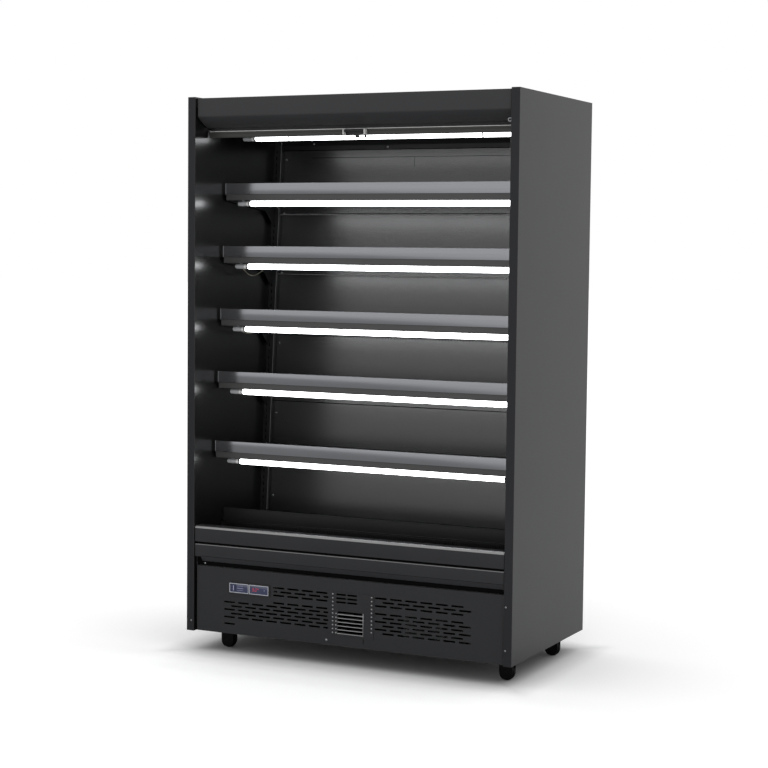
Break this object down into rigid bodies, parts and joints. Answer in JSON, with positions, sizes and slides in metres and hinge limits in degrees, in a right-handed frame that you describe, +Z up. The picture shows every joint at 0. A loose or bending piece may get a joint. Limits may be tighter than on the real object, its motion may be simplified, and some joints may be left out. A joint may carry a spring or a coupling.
{
  "type": "open multideck display fridge",
  "caption": "Upright open-front display fridge on swivel casters: leaning duct panel, hooked shelves with lamps, pull-down night blind, slotted service front",
  "frame": {"origin": "on the floor under the middle of the cabinet, at the height where the caster wheels touch", "axes": "+X to the right seen from the front, +Y towards the back, +Z up"},
  "size_m": [1.25, 0.69, 1.96],
  "materials": {
    "insulated_walls": "dark grey paint over insulated panels",
    "grey_paint": "satin dark grey powder coat",
    "black_paint": "satin black powder coat",
    "strip_metal": "polished, dark",
    "lamp_diffuser": "white diffuser",
    "lamp_metal": "satin",
    "lead_sheath": "matt",
    "black_plastic": "matt",
    "grey_plastic": "satin",
    "display_window": "glossy, tinted",
    "blind_cloth": "coated woven cloth",
    "blind_aluminium": "dark anodised",
    "roller_wound": "wound cloth on a steel tube",
    "zinc": "zinc plated",
    "wheel_rubber": "matt",
    "compressor_black": "gloss black",
    "coil_fins": "bare",
    "copper": "drawn copper, dulled"
  },
  "bodies": {
    "cabinet": {"left_side_panel": "insulated_walls", "right_side_panel": "insulated_walls", "rear_wall": "insulated_walls", "roof_panel": "insulated_walls", "well_tub": "insulated_walls", "ceiling_panel": "black_paint", "air_honeycomb": "black_plastic", "back_duct_panel": "black_paint", "shelf_uprights": "black_paint", "canopy_fascia": "grey_paint", "base_chassis": "zinc", "deck_tray": "black_paint", "return_air_grille": "black_paint", "bumper_upper": "grey_paint", "bumper_lower": "grey_paint", "lower_front_panel": "grey_paint", "service_grille": "grey_paint", "rear_grille": "grey_paint", "mains_gland": "black_plastic", "controller_housing": "grey_plastic", "display_lenses": "display_window", "price_rails": "strip_metal", "shelf_brackets": "black_paint", "shelf_lamp_tubes": "lamp_diffuser", "top_lamp_tube": "lamp_diffuser", "lamp_end_caps": "lamp_metal", "lamp_lead_2": "lead_sheath", "lamp_lead_3": "lead_sheath", "lamp_leads_clipped": "lead_sheath", "caster_plates": "zinc", "compressor": "compressor_black", "condenser_coil": "coil_fins", "evaporator_coil": "coil_fins", "fan_shrouds": "black_paint", "refrigerant_pipes": "copper", "cabinet_screws": "zinc", "shelf_1": "black_paint", "shelf_2": "black_paint", "shelf_3": "black_paint", "shelf_4": "black_paint", "shelf_5": "black_paint"},
    "blind": {"blind_bar": "blind_aluminium", "blind_handle": "black_plastic", "blind_fabric": "blind_cloth"},
    "roller": {"blind_roller": "roller_wound"},
    "fork_front_left": {"caster_fork_front_left": "black_paint"},
    "wheel_front_left": {"caster_wheel_front_left": "wheel_rubber"},
    "fork_front_right": {"caster_fork_front_right": "black_paint"},
    "wheel_front_right": {"caster_wheel_front_right": "wheel_rubber"},
    "fork_rear_left": {"caster_fork_rear_left": "black_paint"},
    "wheel_rear_left": {"caster_wheel_rear_left": "wheel_rubber"},
    "fork_rear_right": {"caster_fork_rear_right": "black_paint"},
    "wheel_rear_right": {"caster_wheel_rear_right": "wheel_rubber"},
    "condenser_fan_rotor": {"condenser_fan": "black_plastic"},
    "evaporator_fan_1_rotor": {"evaporator_fan_1": "black_plastic"},
    "evaporator_fan_2_rotor": {"evaporator_fan_2": "black_plastic"},
    "key_1": {"control_key_1": "grey_plastic"},
    "key_2": {"control_key_2": "grey_plastic"},
    "key_3": {"control_key_3": "grey_plastic"},
    "key_4": {"control_key_4": "grey_plastic"}
  },
  "joints": [
    {"name": "blind_travel", "type": "slide", "parent": "cabinet", "child": "blind", "axis": [0, 0, 1], "range_m": [-1.37, 0], "stiffness_N_per_m": 16, "springref_m": 0.6, "deforming": ["blind_fabric"]},
    {"name": "roller_turn", "type": "hinge", "parent": "cabinet", "child": "roller", "pos_m": [0, -0.281, 1.895], "axis": [1, 0, 0], "range_deg": [-2910, 0]},
    {"name": "swivel_front_left", "type": "hinge", "parent": "cabinet", "child": "fork_front_left", "pos_m": [-0.54, -0.236, 0.064], "axis": [0, 0, 1], "continuous": true},
    {"name": "roll_front_left", "type": "hinge", "parent": "fork_front_left", "child": "wheel_front_left", "pos_m": [-0.512, -0.236, 0.027], "axis": [0, 1, 0], "continuous": true},
    {"name": "swivel_front_right", "type": "hinge", "parent": "cabinet", "child": "fork_front_right", "pos_m": [0.54, -0.236, 0.064], "axis": [0, 0, 1], "continuous": true},
    {"name": "roll_front_right", "type": "hinge", "parent": "fork_front_right", "child": "wheel_front_right", "pos_m": [0.568, -0.236, 0.027], "axis": [0, 1, 0], "continuous": true},
    {"name": "swivel_rear_left", "type": "hinge", "parent": "cabinet", "child": "fork_rear_left", "pos_m": [-0.54, 0.19, 0.064], "axis": [0, 0, 1], "continuous": true},
    {"name": "roll_rear_left", "type": "hinge", "parent": "fork_rear_left", "child": "wheel_rear_left", "pos_m": [-0.512, 0.19, 0.027], "axis": [0, 1, 0], "continuous": true},
    {"name": "swivel_rear_right", "type": "hinge", "parent": "cabinet", "child": "fork_rear_right", "pos_m": [0.54, 0.19, 0.064], "axis": [0, 0, 1], "continuous": true},
    {"name": "roll_rear_right", "type": "hinge", "parent": "fork_rear_right", "child": "wheel_rear_right", "pos_m": [0.568, 0.19, 0.027], "axis": [0, 1, 0], "continuous": true},
    {"name": "condenser_fan_spin", "type": "hinge", "parent": "cabinet", "child": "condenser_fan_rotor", "pos_m": [0, -0.21, 0.188], "axis": [0, 1, 0], "continuous": true},
    {"name": "evaporator_fan_1_spin", "type": "hinge", "parent": "cabinet", "child": "evaporator_fan_1_rotor", "pos_m": [-0.28, -0.092, 0.394], "axis": [0, 1, 0], "continuous": true},
    {"name": "evaporator_fan_2_spin", "type": "hinge", "parent": "cabinet", "child": "evaporator_fan_2_rotor", "pos_m": [0.28, -0.092, 0.394], "axis": [0, 1, 0], "continuous": true},
    {"name": "key_1_press", "type": "slide", "parent": "cabinet", "child": "key_1", "axis": [0, 1, 0], "range_m": [0, 0.0008], "stiffness_N_per_m": 400, "springref_m": -0.0008},
    {"name": "key_2_press", "type": "slide", "parent": "cabinet", "child": "key_2", "axis": [0, 1, 0], "range_m": [0, 0.0008], "stiffness_N_per_m": 400, "springref_m": -0.0008},
    {"name": "key_3_press", "type": "slide", "parent": "cabinet", "child": "key_3", "axis": [0, 1, 0], "range_m": [0, 0.0008], "stiffness_N_per_m": 400, "springref_m": -0.0008},
    {"name": "key_4_press", "type": "slide", "parent": "cabinet", "child": "key_4", "axis": [0, 1, 0], "range_m": [0, 0.0008], "stiffness_N_per_m": 400, "springref_m": -0.0008}
  ],
  "couplings": [
    {"joint": "roller_turn", "follows": "blind_travel", "rad_per_m": 37.037}
  ]
}
